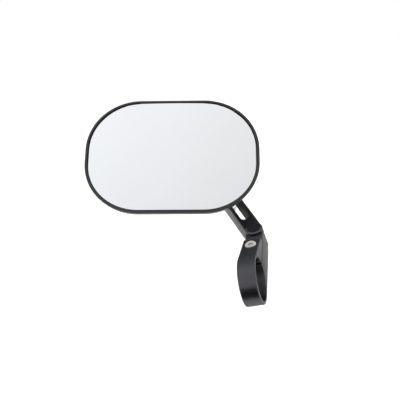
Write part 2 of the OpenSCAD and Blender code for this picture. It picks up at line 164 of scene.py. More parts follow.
def noise(
    tree: Tree, place: Socket, size_mm: float, detail: float, roughness: float = 0.5
) -> Socket:
    """Adds noise whose patches have a real size.

    Args:
        tree: Node tree that gets the node.
        place: Object coordinates.
        size_mm: Size of the patches.
        detail: How many finer layers lie on them.
        roughness: Strength of those layers.

    Returns:
        The noise, from 0 to 1.
    """
    sockets = {"Vector": place, "Scale": 1 / (size_mm * MM), "Detail": detail, "Roughness": roughness}
    return add_node(tree, "ShaderNodeTexNoise", sockets=sockets).outputs["Fac"]


def relief(
    tree: Tree, height: Socket, depth_mm: float, strength: float = 1.0, under: Socket | None = None
) -> Socket:
    """Turns a height into a bumped normal.

    Args:
        tree: Node tree that gets the node.
        height: Height, from 0 to 1.
        depth_mm: Real depth of the relief.
        strength: How much of it shows.
        under: Normal of a relief that lies under this one.

    Returns:
        The bumped normal.
    """
    sockets = {"Height": height, "Distance": depth_mm * MM, "Strength": strength}
    if under is not None:
        sockets["Normal"] = under
    return add_node(tree, "ShaderNodeBump", sockets=sockets).outputs[0]


@dataclass(frozen=True)
class Finish:
    """A surface finish: what the piece is made of and how its surface was made.

    Attributes:
        name: Name of the material, in a maker's words.
        colour: Main colour, as an sRGB hex value.
        shade: Colour of the slow variation across the surface.
        metallic: One for bare or anodised metal, nought for plastics.
        roughness: Middle roughness of the surface.
        spread: How far the roughness swings either way.
        ior: Index of refraction; metals keep Blender's default.
        sheen_level: Strength of a non-metal's gloss, where a half is plain gloss for its index.
        edge_gloss: How bright a metal is at grazing angles, where one is as bright as bare metal.
        patch_mm: Size of the slow patches of colour and gloss.
        grain_mm: Size of the grain that the bump shows.
        grain_depth_mm: Height of that grain.
        wear: Colour that shows on rubbed edges, or an empty string.
        wear_amount: How much of the edge is rubbed, from 0 to 1.
    """

    name: str
    colour: str
    shade: str
    metallic: float = 0.0
    roughness: float = 0.5
    spread: float = 0.05
    ior: float = 1.5
    sheen_level: float = 0.5
    edge_gloss: float = 1.0
    patch_mm: float = 14.0
    grain_mm: float = 0.4
    grain_depth_mm: float = 0.01
    wear: str = ""
    wear_amount: float = 0.0

    def material(self) -> bpy.types.Material:
        """Builds the node material of the finish.

        Returns:
            The finished material.
        """
        made = bpy.data.materials.new(self.name)
        made.use_nodes = True
        tree = made.node_tree
        tree.nodes.clear()
        place = add_node(tree, "ShaderNodeTexCoord").outputs["Object"]
        patches = noise(tree, place, self.patch_mm, 4.0, 0.55)
        colour = add_node(
            tree,
            "ShaderNodeMix",
            {"data_type": "RGBA"},
            {0: patches, 6: linear(self.colour), 7: linear(self.shade)},
        ).outputs[2]
        gloss = ramp(
            tree, patches, NOISE_MIDDLE, (self.roughness - self.spread, self.roughness + self.spread)
        )
        if self.wear:
            colour = self.worn(tree, colour, patches)
        bump = self.surface(tree, place)
        shader = add_node(
            tree,
            "ShaderNodeBsdfPrincipled",
            sockets={"Base Color": colour, "Roughness": gloss, "Metallic": self.metallic, "Normal": bump},
        )
        if self.metallic < 1.0:
            shader.inputs["IOR"].default_value = self.ior
            shader.inputs["Specular IOR Level"].default_value = self.sheen_level
        elif self.edge_gloss < 1.0:
            shader.inputs["Specular Tint"].default_value = (self.edge_gloss,) * 3 + (1.0,)
        self.extra(tree, shader)
        add_node(tree, "ShaderNodeOutputMaterial", sockets={"Surface": shader.outputs[0]})
        return made

    def surface(self, tree: Tree, place: Socket) -> Socket:
        """Builds the fine relief of the surface.

        Args:
            tree: Node tree of the material.
            place: Object coordinates.

        Returns:
            The bumped normal.
        """
        return relief(tree, noise(tree, place, self.grain_mm, 2.0), self.grain_depth_mm)

    def worn(
        self, tree: Tree, colour: Socket, patches: Socket
    ) -> Socket:
        """Lightens the edges where hands and tools rub them.

        Args:
            tree: Node tree of the material.
            colour: Colour before wear.
            patches: Slow noise that breaks the wear up.

        Returns:
            The worn colour.
        """
        rounded = add_node(tree, "ShaderNodeBevel", {"samples": 4}, {"Radius": WEAR_REACH_MM * MM}).outputs[0]
        flat = add_node(tree, "ShaderNodeNewGeometry").outputs["Normal"]
        turned = add_node(
            tree, "ShaderNodeVectorMath", {"operation": "DOT_PRODUCT"}, {0: rounded, 1: flat}
        ).outputs["Value"]
        edge = ramp(tree, turned, WEAR_TURN, (0.0, self.wear_amount))
        broken = add_node(tree, "ShaderNodeMath", {"operation": "MULTIPLY"}, {0: edge, 1: patches}).outputs[0]
        return add_node(
            tree, "ShaderNodeMix", {"data_type": "RGBA"}, {0: broken, 6: colour, 7: linear(self.wear)}
        ).outputs[2]

    def extra(self, tree: Tree, shader: bpy.types.Node) -> None:
        """Adds what a finish has besides the common nodes.

        Args:
            tree: Node tree of the material.
            shader: The material's surface shader.
        """


@dataclass(frozen=True)
class MouldedPlastic(Finish):
    """A plastic moulding whose tool was spark eroded, so that it has a fine leather-like grain."""

    def surface(self, tree: Tree, place: Socket) -> Socket:
        """Builds the cells of the eroded tool.

        Args:
            tree: Node tree of the material.
            place: Object coordinates.

        Returns:
            The bumped normal.
        """
        cells = add_node(
            tree,
            "ShaderNodeTexVoronoi",
            {"feature": "SMOOTH_F1"},
            {"Vector": place, "Scale": 1 / (self.grain_mm * MM), "Smoothness": 0.8},
        ).outputs["Distance"]
        return relief(tree, cells, self.grain_depth_mm, 0.8)


@dataclass(frozen=True)
class BlastedMetal(Finish):
    """A machined metal that is blasted before it is dyed: shallow pits over the last traces of the cutter.

    Attributes:
        cut_mm: Spacing of the cutter's traces, drawn coarser than the real 0.1 mm so that it shows.
        cut_depth_mm: Depth of those traces.
        cut_stretch: Scale along the traces, as a share of the scale across them.
    """

    cut_mm: float = 0.45
    cut_depth_mm: float = 0.0035
    cut_stretch: float = 0.12

    def surface(self, tree: Tree, place: Socket) -> Socket:
        """Lays the blasted pits over the cutter's traces.

        Args:
            tree: Node tree of the material.
            place: Object coordinates.

        Returns:
            The bumped normal.
        """
        along = add_node(
            tree,
            "ShaderNodeMapping",
            sockets={"Vector": place, "Scale": (1.0, self.cut_stretch, self.cut_stretch)},
        ).outputs[0]
        cut = relief(tree, noise(tree, along, self.cut_mm, 3.0, 0.6), self.cut_depth_mm)
        return relief(tree, noise(tree, place, self.grain_mm, 2.0), self.grain_depth_mm, under=cut)


@dataclass(frozen=True)
class TurnedMetal(Finish):
    """A metal turned on a lathe: faint rings lie round the arm's normal, the axis of its fasteners.

    Attributes:
        ring_mm: Spacing of the rings.
        ring_stretch: Scale across the axis, as a share of the scale along it.
        normal: Axis that the rings lie round.
    """

    ring_mm: float = 0.25
    ring_stretch: float = 0.15
    normal: tuple[float, float, float] = (0.0, 0.0, 1.0)

    def surface(self, tree: Tree, place: Socket) -> Socket:
        """Builds the fine lines of the turning.

        Args:
            tree: Node tree of the material.
            place: Object coordinates.

        Returns:
            The bumped normal.
        """
        tilt = Vector(self.normal).rotation_difference(Vector((0, 0, 1))).to_euler()
        turned = add_node(
            tree,
            "ShaderNodeMapping",
            sockets={
                "Vector": place,
                "Rotation": tuple(tilt),
                "Scale": (self.ring_stretch, self.ring_stretch, 1.0),
            },
        ).outputs[0]
        return relief(tree, noise(tree, turned, self.ring_mm, 3.0), self.grain_depth_mm, 0.6)


@dataclass(frozen=True)
class SilveredGlass(Finish):
    """Float glass bent to a shallow dome and silvered behind, with a clear front surface.

    Attributes:
        coat_weight: How much of the clear surface shows over the silver.
        coat_roughness: Roughness of the clear surface.
        coat_ior: Index of refraction of the glass.
    """

    coat_weight: float = 0.6
    coat_roughness: float = 0.02
    coat_ior: float = 1.52

    def extra(self, tree: Tree, shader: bpy.types.Node) -> None:
        """Lays the clear glass over the silver.

        Args:
            tree: Node tree of the material.
            shader: The material's surface shader.
        """
        shader.inputs["Coat Weight"].default_value = self.coat_weight
        shader.inputs["Coat Roughness"].default_value = self.coat_roughness
        shader.inputs["Coat IOR"].default_value = self.coat_ior


def arm_normal() -> tuple[float, float, float]:
    """Normal of the arm's front face, from the axis of its swing joint."""
    swing = next(joint for joint in frame["joints"] if joint["name"] == "arm_swing")
    return tuple(swing["axis"])


# Black anodised aluminium, bead blasted before it is dyed: it takes its tone from what it faces, bright where
# it looks at the horizon and nearly black where it looks up or down
ANODISED = BlastedMetal(
    name="black_anodised_aluminium", colour="59585c", shade="4d4d50", metallic=1.0, roughness=0.35,
    edge_gloss=0.6, spread=0.04, patch_mm=9.0, grain_mm=0.3, grain_depth_mm=0.005, wear="a3a2a0",
    wear_amount=0.45,
)
# The same anodised aluminium inside the slot, made darker and less glossy as painted shade for the recess of
# the slot
SLOT_WALL_PAINTED_SHADE = BlastedMetal(
    name="black_anodised_slot_wall_painted_shade", colour="3c3b3e", shade="343437", metallic=1.0, roughness=0.42,
    edge_gloss=0.35, spread=0.04, patch_mm=6.0, grain_mm=0.3, grain_depth_mm=0.004,
)
# Turned acetal cap, dyed black: darker and smoother than the metal round it
CAP = Finish(
    name="black_acetal", colour="09090a", shade="0e0e10", roughness=0.5, ior=1.48, sheen_level=0.2,
    patch_mm=6.0, grain_mm=0.3, grain_depth_mm=0.004,
)
# A2 stainless steel, cold headed and tumbled: bright and slightly warm
STAINLESS = TurnedMetal(
    name="tumbled_stainless_steel", colour="f0ece4", shade="e2ddd4", metallic=1.0, roughness=0.42,
    spread=0.05, patch_mm=3.0, grain_depth_mm=0.003, normal=arm_normal(),
)
# Zinc plated steel: cooler and duller than stainless, with faint bluish patches
ZINC = TurnedMetal(
    name="zinc_plated_steel", colour="b9bdc2", shade="a3a8b2", metallic=1.0, roughness=0.32,
    spread=0.07, patch_mm=2.5, grain_depth_mm=0.004, normal=arm_normal(),
)
# Ground and polished steel of the ball stud
POLISHED = TurnedMetal(
    name="polished_steel", colour="d2d3d4", shade="c6c7c9", metallic=1.0, roughness=0.13,
    spread=0.03, patch_mm=5.0, grain_depth_mm=0.002, normal=arm_normal(),
)
# Sintered bronze, porous and dark with oil
BRONZE = Finish(
    name="oiled_sintered_bronze", colour="8c6a3f", shade="6f5331", metallic=1.0, roughness=0.45,
    patch_mm=2.0, grain_mm=0.25, grain_depth_mm=0.02,
)
# Natural nylon: milky, waxy and slightly yellow
NYLON = Finish(
    name="natural_nylon", colour="ddd8c8", shade="d2ccb8", roughness=0.4, ior=1.53, patch_mm=5.0,
    grain_mm=0.5, grain_depth_mm=0.006,
)
# Acetal guide block and washers: smooth, off-white, low friction
ACETAL = Finish(
    name="natural_acetal", colour="c9c4b4", shade="bfb9a8", roughness=0.34, ior=1.48, patch_mm=4.0,
    grain_mm=0.4, grain_depth_mm=0.004,
)
# ABS housing from a spark-eroded tool: a soft black with a fine pebbled grain
HOUSING = MouldedPlastic(
    name="spark_textured_abs", colour="1d1d1f", shade="232325", roughness=0.5, ior=1.53, patch_mm=20.0,
    grain_mm=0.5, grain_depth_mm=0.005,
)
# ABS bezel from a polished tool: semi gloss
BEZEL = MouldedPlastic(
    name="semi_gloss_abs", colour="151516", shade="1b1b1c", roughness=0.36, ior=1.53, patch_mm=16.0,
    grain_mm=0.6, grain_depth_mm=0.0015,
)
# Inner face of the bezel's lip, matt and nearly black beside the bright glass: painted shade on the faces
# that look inwards
LIP_PAINTED_SHADE = MouldedPlastic(
    name="matt_abs_lip_painted_shade", colour="0c0c0d", shade="101011", roughness=0.7, ior=1.5, sheen_level=0.2,
    patch_mm=16.0, grain_mm=0.6, grain_depth_mm=0.008,
)
# Glass-filled polypropylene backing plate
PLATE = MouldedPlastic(
    name="glass_filled_polypropylene", colour="2a2b2e", shade="333438", roughness=0.6, ior=1.49,
    patch_mm=8.0, grain_mm=0.7, grain_depth_mm=0.03,
)
# Closed-cell foam tape under the glass
FOAM = MouldedPlastic(
    name="closed_cell_foam", colour="1a1a1a", shade="222222", roughness=0.9, ior=1.45, patch_mm=6.0,
    grain_mm=0.5, grain_depth_mm=0.1,
)
# Silvered glass: a nearly perfect reflector, a touch cool from the glass's tint
MIRROR = SilveredGlass(
    name="silvered_convex_glass", colour="f3f3f3", shade="f0f0f0", metallic=1.0, roughness=0.035,
    spread=0.008, patch_mm=40.0, grain_mm=6.0, grain_depth_mm=0.0005,
)


def deselect() -> None:
    """Leaves edit mode and clears the selection."""
    if bpy.context.object and bpy.context.object.mode != "OBJECT":
        bpy.ops.object.mode_set(mode="OBJECT")
    bpy.ops.object.select_all(action="DESELECT")


def pick(piece: Piece) -> None:
    """Selects one object and makes it active.

    Args:
        piece: Object to work on.
    """
    deselect()
    piece.select_set(True)
    bpy.context.view_layer.objects.active = piece


def edit_all() -> None:
    """Enters edit mode on the active object and selects all of its mesh."""
    bpy.ops.object.mode_set(mode="EDIT")
    bpy.ops.mesh.select_all(action="SELECT")


def apply_modifier(piece: Piece, kind: str, **settings: object) -> None:
    """Adds a modifier and applies it.

    Args:
        piece: Object that is shaped.
        kind: Blender's name of the modifier type.
        settings: Attributes of the modifier.
    """
    pick(piece)
    modifier = piece.modifiers.new(kind.lower(), kind)
    for name, value in settings.items():
        setattr(modifier, name, value)
    bpy.ops.object.modifier_apply(modifier=modifier.name)


def mend(piece: Piece) -> None:
    """Merges doubled corners and clears faces without any width.

    Args:
        piece: Piece to mend.
    """
    pick(piece)
    edit_all()
    bpy.ops.mesh.remove_doubles(threshold=MERGE_MM * MM)
    bpy.ops.mesh.dissolve_degenerate(threshold=MERGE_MM * MM)
    bpy.ops.mesh.select_all(action="SELECT")
    bpy.ops.mesh.normals_make_consistent(inside=False)
    if bmesh.from_edit_mesh(piece.data).calc_volume(signed=True) < 0:
        bpy.ops.mesh.flip_normals()
    bpy.ops.object.mode_set(mode="OBJECT")


@dataclass
class RoundedNode:
    """A machined or moulded piece of the frame, copied so that its sharp edges can be broken.

    Attributes:
        node: The frame's piece.
        body: Body that it moves with.
        finish: Its surface finish.
        slot: The record's material slot.
        radius_mm: Radius on its edges.
        segments: Facets across each rounded edge.
        edge_deg: Angle past which an edge is rounded.
    """

    node: str
    body: Body
    finish: Finish
    slot: str
    radius_mm: float = 0.2
    segments: int = 3
    edge_deg: float = 24.0

    def build(self) -> Piece:
        """Copies the piece, merges it and rounds its edges.

        Returns:
            The finished piece.
        """
        piece = bpy.data.objects.new(f"{self.node}_rounded", frame["nodes"][self.node].data.copy())
        bpy.context.scene.collection.objects.link(piece)
        pick(piece)
        mend(piece)
        bpy.ops.mesh.customdata_custom_splitnormals_clear()
        if self.radius_mm:
            edit_all()
            bpy.ops.mesh.dissolve_limited(angle_limit=math.radians(FLAT_DEG))
            bpy.ops.mesh.vert_connect_concave()
            bpy.ops.object.mode_set(mode="OBJECT")
            sharp = BVHTree.FromPolygons(
                [v.co.copy() for v in piece.data.vertices], [list(p.vertices) for p in piece.data.polygons]
            )
            apply_modifier(
                piece, "BEVEL", width=self.radius_mm * MM, segments=self.segments, limit_method="ANGLE",
                angle_limit=math.radians(self.edge_deg), use_clamp_overlap=False, miter_outer="MITER_SHARP",
            )
            self.settle(piece, sharp)
        bpy.ops.object.shade_smooth_by_angle(angle=math.radians(40))
        return dress(piece, self.body, self.finish, self.slot, self.node)

    def settle(self, piece: Piece, sharp: BVHTree) -> None:
        """Puts corners that a mitre threw off the surface back on it.

        Args:
            piece: The rounded piece.
            sharp: Its surface before the rounding.
        """
        for vertex in piece.data.vertices:
            place, _, _, distance = sharp.find_nearest(vertex.co)
            if distance > self.radius_mm / 2 * MM:
                vertex.co = place
        mend(piece)


@dataclass
class SlottedArm(RoundedNode):
    """The arm, whose slot walls get a darker copy of its finish as painted shade.

    Attributes:
        reach_mm: Half the width, about the slot's centre line, in which a wall belongs to the slot.
    """

    reach_mm: float = 4.4

    def paint_slot_shade(self, piece: Piece, axis: "StudAxis") -> None:
        """Paints shade on the slot's walls by giving them the darker copy of the finish.

        Args:
            piece: The finished arm.
            axis: The stud's frame, which runs through the slot.
        """
        # painted shade: a darker, less glossy anodised finish on the slot's inner walls
        piece.data.materials.append(finish_of(SLOT_WALL_PAINTED_SHADE))
        for face in piece.data.polygons:
            offset = (face.center - axis.ball).dot(axis.across)
            inward = face.normal.dot(axis.across) * offset < 0
            if abs(offset) < self.reach_mm * MM and inward and abs(face.normal.dot(axis.out)) < 0.5:
                face.material_index = 1


@dataclass
class Bezel(RoundedNode):
    """The bezel, whose inward-looking lip faces get a darker, matt copy of its plastic as painted shade."""

    def paint_lip_shade(self, piece: Piece, head: "HeadFrame") -> None:
        """Paints shade on the faces that look inwards, above the glass, with the darker matt finish.

        Args:
            piece: The finished bezel.
            head: The head's frame.
        """
        # painted shade: the inward-looking faces of the lip get a darker, matt copy of the bezel plastic
        piece.data.materials.append(finish_of(LIP_PAINTED_SHADE))
        for face in piece.data.polygons:
            middle = face.center - head.crown
            straight_x = max(-head.straight_x, min(head.straight_x, middle.dot(head.across)))
            straight_y = max(-head.straight_y, min(head.straight_y, middle.dot(head.up)))
            outwards = middle - head.across * straight_x - head.up * straight_y
            outwards -= head.out * outwards.dot(head.out)
            if face.normal.dot(outwards.normalized()) < -0.35:
                face.material_index = 1


@dataclass
class HeadFrame:
    """The head's own frame, read off the glass: across, up, and out of the glass at its crown.

    Attributes:
        across: Direction to the head's right.
        up: Direction up the head.
        out: Direction out of the glass.
        crown: Point at the middle of the glass's front.
        width: Width of the glass.
        height: Height of the glass.
        corner: Radius of the glass's corners.
    """

    across: Vector
    up: Vector
    out: Vector
    crown: Vector
    width: float
    height: float
    corner: float

    @classmethod
    def read(cls) -> "HeadFrame":
        """Measures the frame's glass along the axes of the head's two joints.

        Returns:
            The head's frame.
        """
        axes = {joint["name"]: Vector(joint["axis"]).normalized() for joint in frame["joints"]}
        across, up = axes["head_tilt"], axes["head_pan"]
        out = across.cross(up)
        points = [v.co for v in frame["nodes"]["mirror_glass"].data.vertices]
        spans = [[p.dot(axis) for p in points] for axis in (across, up, out)]
        middles = [(min(span) + max(span)) / 2 for span in spans[:2]] + [max(spans[2])]
        width, height = (max(span) - min(span) for span in spans[:2])
        top_edge = [abs(x - middles[0]) for x, y in zip(*spans[:2]) if y > middles[1] + height / 2 - 1e-5]
        crown = across * middles[0] + up * middles[1] + out * middles[2]
        return cls(across, up, out, crown, width, height, width / 2 - max(top_edge))

    @property
    def straight_x(self) -> float:
        """Half the straight part of the top and bottom edges."""
        return self.width / 2 - self.corner

    @property
    def straight_y(self) -> float:
        """Half the straight part of the two side edges."""
        return self.height / 2 - self.corner

    def matrix(self) -> Matrix:
        """Turns the head's own coordinates into the frame's."""
        turn = Matrix((self.across, self.up, self.out)).transposed().to_4x4()
        return Matrix.Translation(self.crown) @ turn


@dataclass
class ConvexGlass:
    """The mirror glass: a shallow dome cut to the head's outline, fine enough to reflect without facets.

    Attributes:
        radius_mm: Radius of the dome.
        thickness_mm: Thickness of the glass.
        cell_mm: Size of the dome's faces before it is cut.
        arris_mm: Width of the ground edge.
        corner_steps: Facets round each corner.
        spare_cells: Cells that the dome is wider than the head before it is cut.
        block_share: Height of the cutting block in thicknesses of glass.
        arris_deg: Edges sharper than this are ground.
        smooth_deg: Edges flatter than this are shaded smooth.
    """

    radius_mm: float = 1200.0
    thickness_mm: float = 2.5
    cell_mm: float = 2.0
    arris_mm: float = 0.25
    corner_steps: int = 40
    spare_cells: int = 4
    block_share: int = 8
    arris_deg: float = 50.0
    smooth_deg: float = 35.0

    def build(self, head: HeadFrame) -> Piece:
        """Domes a grid, thickens it and cuts it to the outline.

        Args:
            head: The head's frame.

        Returns:
            The finished glass.
        """
        radius = self.radius_mm * MM
        spare = self.spare_cells * self.cell_mm * MM
        wide, high = head.width + spare, head.height + spare
        deselect()
        cell = self.cell_mm * MM
        bpy.ops.mesh.primitive_grid_add(
            x_subdivisions=round(wide / cell), y_subdivisions=round(high / cell), size=1
        )
        glass = bpy.context.object
        glass.name = "convex_glass"
        glass.scale = (wide, high, 1)
        bpy.ops.object.transform_apply(scale=True)
        for vertex in glass.data.vertices:
            x, y = vertex.co.x, vertex.co.y
            vertex.co.z = math.sqrt(radius * radius - x * x - y * y) - radius
        apply_modifier(glass, "SOLIDIFY", thickness=self.thickness_mm * MM, offset=-1.0)
        cutter = self.outline(head)
        apply_modifier(glass, "BOOLEAN", operation="INTERSECT", object=cutter, solver="EXACT")
        bpy.data.objects.remove(cutter)
        apply_modifier(
            glass, "BEVEL", width=self.arris_mm * MM, segments=2, limit_method="ANGLE",
            angle_limit=math.radians(self.arris_deg),
        )
        bpy.ops.object.shade_smooth_by_angle(angle=math.radians(self.smooth_deg))
        glass.data.transform(head.matrix())
        return dress(glass, Body.HEAD, MIRROR, "mirror_glass", "mirror_glass")

    def outline(self, head: HeadFrame) -> Piece:
        """Rounds the corners of a block to the glass's outline.

        Args:
            head: The head's frame.

        Returns:
            The block.
        """
        deselect()
        bpy.ops.mesh.primitive_cube_add(size=1)
        block = bpy.context.object
        block.scale = (head.width, head.height, self.block_share * self.thickness_mm * MM)
        bpy.ops.object.transform_apply(scale=True)
        bpy.ops.object.mode_set(mode="EDIT")
        bpy.ops.mesh.select_mode(type="EDGE")
        bpy.ops.mesh.select_all(action="DESELECT")
        mesh = bmesh.from_edit_mesh(block.data)
        for edge in mesh.edges:
            ends = [v.co for v in edge.verts]
            edge.select = abs(ends[0].z - ends[1].z) > MM
        bmesh.update_edit_mesh(block.data)
        bpy.ops.mesh.bevel(offset=head.corner, segments=self.corner_steps)
        bpy.ops.object.mode_set(mode="OBJECT")
        return block


@dataclass
class StudAxis:
    """The stud's own frame: across the arm, along it, and out of its front face, from the ball's centre.

    Attributes:
        across: Direction across the arm.
        along: Direction along the slot.
        out: Direction out of the arm's front face.
        ball: Centre of the ball.
    """

    across: Vector
    along: Vector
    out: Vector
    ball: Vector

    @classmethod
    def read(cls) -> "StudAxis":
        """Reads the axis off the frame's joints.

        Returns:
            The stud's frame.
        """
        joints = {joint["name"]: joint for joint in frame["joints"]}
        along = Vector(joints["stud_slide"]["axis"]).normalized()
        out = Vector(joints["arm_swing"]["axis"]).normalized()
        return cls(along.cross(out), along, out, Vector(joints["head_pan"]["pos_m"]))

    def span(self, node: str) -> tuple[float, float]:
        """Lowest and highest point of a node along the stud, measured from the ball's centre.

        Args:
            node: Name of the frame's piece.

        Returns:
            The two heights.
        """
        heights = [(v.co - self.ball).dot(self.out) for v in frame["nodes"][node].data.vertices]
        return min(heights), max(heights)

    def matrix(self) -> Matrix:
        """Turns the stud's own coordinates into the frame's."""
        turn = Matrix((self.across, self.along, self.out)).transposed().to_4x4()
        return Matrix.Translation(self.ball) @ turn


def turned(name: str, profile: list[tuple[float, float]], steps: int = 72, ring: bool = False) -> Piece:
    """Turns a profile about the Z axis, as on a lathe.

    Args:
        name: Name of the piece.
        profile: Radius and height of each corner, in millimetres, from the lowest up.
        steps: Facets round the axis.
        ring: Whether the profile is a closed loop round a hole.

    Returns:
        The turned solid.
    """
    deselect()
    radius, height = profile[0]
    bpy.ops.mesh.primitive_circle_add(
        vertices=steps,
        radius=radius * MM,
        fill_type="NOTHING" if ring else "NGON",
        location=(0, 0, height * MM),
    )
    piece = bpy.context.object
    piece.name = name
    bpy.ops.object.transform_apply(location=True)
    edit_all()
    for wide, high in profile[1:] + (profile[:1] if ring else []):
        extrude = bpy.ops.mesh.extrude_edges_move if ring else bpy.ops.mesh.extrude_region_move
        extrude(TRANSFORM_OT_translate={"value": (0, 0, (high - height) * MM)})
        bpy.ops.transform.resize(value=(wide / radius, wide / radius, 1), center_override=(0, 0, 0))
        radius, height = wide, high
    bpy.ops.mesh.select_all(action="SELECT")
    bpy.ops.mesh.remove_doubles(threshold=TURNED_MERGE_MM * MM)
    bpy.ops.mesh.normals_make_consistent(inside=False)
    bpy.ops.object.mode_set(mode="OBJECT")
    return piece


def combine(piece: Piece, tool: Piece, operation: str) -> None:
    """Cuts, joins or trims a piece with another one, which is used up.

    Args:
        piece: Piece that is shaped.
        tool: Piece that shapes it.
        operation: UNION, DIFFERENCE or INTERSECT.
    """
    apply_modifier(piece, "BOOLEAN", operation=operation, object=tool, solver="EXACT")
    bpy.data.objects.remove(tool)
    mend(piece)


def hexagon(across_flats: float, low: float, high: float, chamfer: float) -> Piece:
    """Makes a hexagonal head whose corners are turned down at both ends.

    Args:
        across_flats: Width across the flats, in millimetres.
        low: Height of its lower face.
        high: Height of its upper face.
        chamfer: How far the turned chamfer comes down the corners.

    Returns:
        The head, with two corners on the X axis.
    """
    corner = across_flats / 2 / math.cos(math.radians(30))
    deselect()
    bpy.ops.mesh.primitive_cylinder_add(
        vertices=6, radius=corner * MM, depth=(high - low) * MM, location=(0, 0, (high + low) / 2 * MM),
        rotation=(0, 0, math.radians(30)),
    )
    head = bpy.context.object
    bpy.ops.object.transform_apply(location=True, rotation=True)
    face = across_flats / 2 * 0.97   # just inside the flats, so that the chamfer meets all six
    clear = corner * 1.01
    envelope = turned(
        "envelope", [(face, low), (clear, low + chamfer), (clear, high - chamfer), (face, high)]
    )
    combine(head, envelope, "INTERSECT")
    return head


@dataclass
class BallStud:
    """The stud: a ground ball on a filleted neck, a chamfered hexagon and a rolled thread.

    Attributes:
        ball_r: Radius of the ball, in millimetres like all sizes here.
        neck_r: Radius of the neck.
        shank_r: Outer radius of the thread and the shank.
        pitch: Pitch of the thread.
        thread_depth: Depth of the thread.
        flange_af: Width of the hexagon across its flats.
        flange_t: Thickness of the hexagon.
        fillet: Radius at the foot of the neck.
        chamfer: Chamfer of the tail and of the hexagon.
        runout: Distance from each end of the core to the thread's first and last turn.
        shank_start: Where the core widens to the shank, from and to, past the rear washer.
        foot: How deep the thread's foot is sunk in the core.
        crest: How far the thread's crest stays inside the shank's radius.
        ridge_share: Width of the thread's foot, as a share of the pitch.
        turn_steps: Facets in one turn of the thread.
        ball_steps: Facets along the ball's outline.
        fillet_steps: Facets along the fillet.
    """

    ball_r: float = 7.5
    neck_r: float = 2.7
    shank_r: float = 3.0
    pitch: float = 1.0
    thread_depth: float = 0.55
    flange_af: float = 10.0
    flange_t: float = 3.0
    fillet: float = 0.9
    chamfer: float = 0.5
    runout: float = 0.3
    shank_start: tuple[float, float] = (0.4, 0.7)
    foot: float = 0.15
    crest: float = 0.03
    ridge_share: float = 0.9
    turn_steps: int = 36
    ball_steps: int = 40
    fillet_steps: int = 5

    def build(self, axis: StudAxis) -> Piece:
        """Turns the stud, adds its hexagon and winds its thread.

        Args:
            axis: The stud's frame.

        Returns:
            The finished stud.
        """
        tail = axis.span("ball_stud")[0] / MM
        flange = axis.span("front_washer")[1] / MM
        shank = axis.span("rear_washer")[0] / MM
        root = self.shank_r - self.thread_depth
        top = flange + self.flange_t
        start = math.asin((self.neck_r + NECK_FLARE_MM) / self.ball_r)
        sweep = math.pi - POLE_GAP - start
        arc = [
            (self.ball_r * math.sin(t), -self.ball_r * math.cos(t))
            for t in (start + sweep * step / self.ball_steps for step in range(self.ball_steps + 1))
        ]
        joint = [
            (self.neck_r + self.fillet * (1 - math.sin(t)), top + self.fillet * (1 - math.cos(t)))
            for t in (math.pi / 2 * step / self.fillet_steps for step in range(self.fillet_steps + 1))
        ]
        stud = turned(
            "turned_ball_stud",
            [(root - self.chamfer, tail), (root, tail + self.chamfer), (root, shank + self.shank_start[0]),
             (self.shank_r, shank + self.shank_start[1]), (self.shank_r, top), *joint,
             (self.neck_r, arc[0][1] - self.chamfer), *arc],
        )
        combine(stud, hexagon(self.flange_af, flange, top, self.chamfer), "UNION")
        combine(stud, self.thread(root, tail + self.runout, shank + self.runout), "UNION")
        pick(stud)
        bpy.ops.object.shade_smooth_by_angle(angle=math.radians(32))
        stud.data.transform(axis.matrix())
        return dress(stud, Body.SLIDER, POLISHED, "polished_steel", "ball_stud")

    def thread(self, root: float, low: float, high: float) -> Piece:
        """Winds the ridge of the thread round its core.

        Args:
            root: Radius of the core.
            low: Height of its first turn.
            high: Height of its last turn.

        Returns:
            The closed ridge.
        """
        deselect()
        reach = self.pitch * 0.5
        bpy.ops.mesh.primitive_circle_add(vertices=3, radius=reach * MM, fill_type="NOTHING")
        ridge = bpy.context.object
        edit_all()
        corners = bmesh.from_edit_mesh(ridge.data)
        corners.verts.ensure_lookup_table()
        foot, wide = root - self.foot, self.pitch * self.ridge_share
        places = ((foot, 0.0), (self.shank_r - self.crest, wide / 2), (foot, wide))
        for vertex, (radius, height) in zip(corners.verts, places):
            vertex.co = (radius * MM, 0, (low + height) * MM)
        bmesh.update_edit_mesh(ridge.data)
        bpy.ops.object.mode_set(mode="OBJECT")
        turns = int((high - low) / self.pitch)
        apply_modifier(
            ridge, "SCREW", angle=2 * math.pi, screw_offset=self.pitch * MM, iterations=turns,
            steps=self.turn_steps, render_steps=self.turn_steps, use_merge_vertices=False,
        )
        edit_all()
        bpy.ops.mesh.fill_holes(sides=3)
        bpy.ops.mesh.select_all(action="SELECT")
        bpy.ops.mesh.normals_make_consistent(inside=False)
        bpy.ops.object.mode_set(mode="OBJECT")
        return ridge


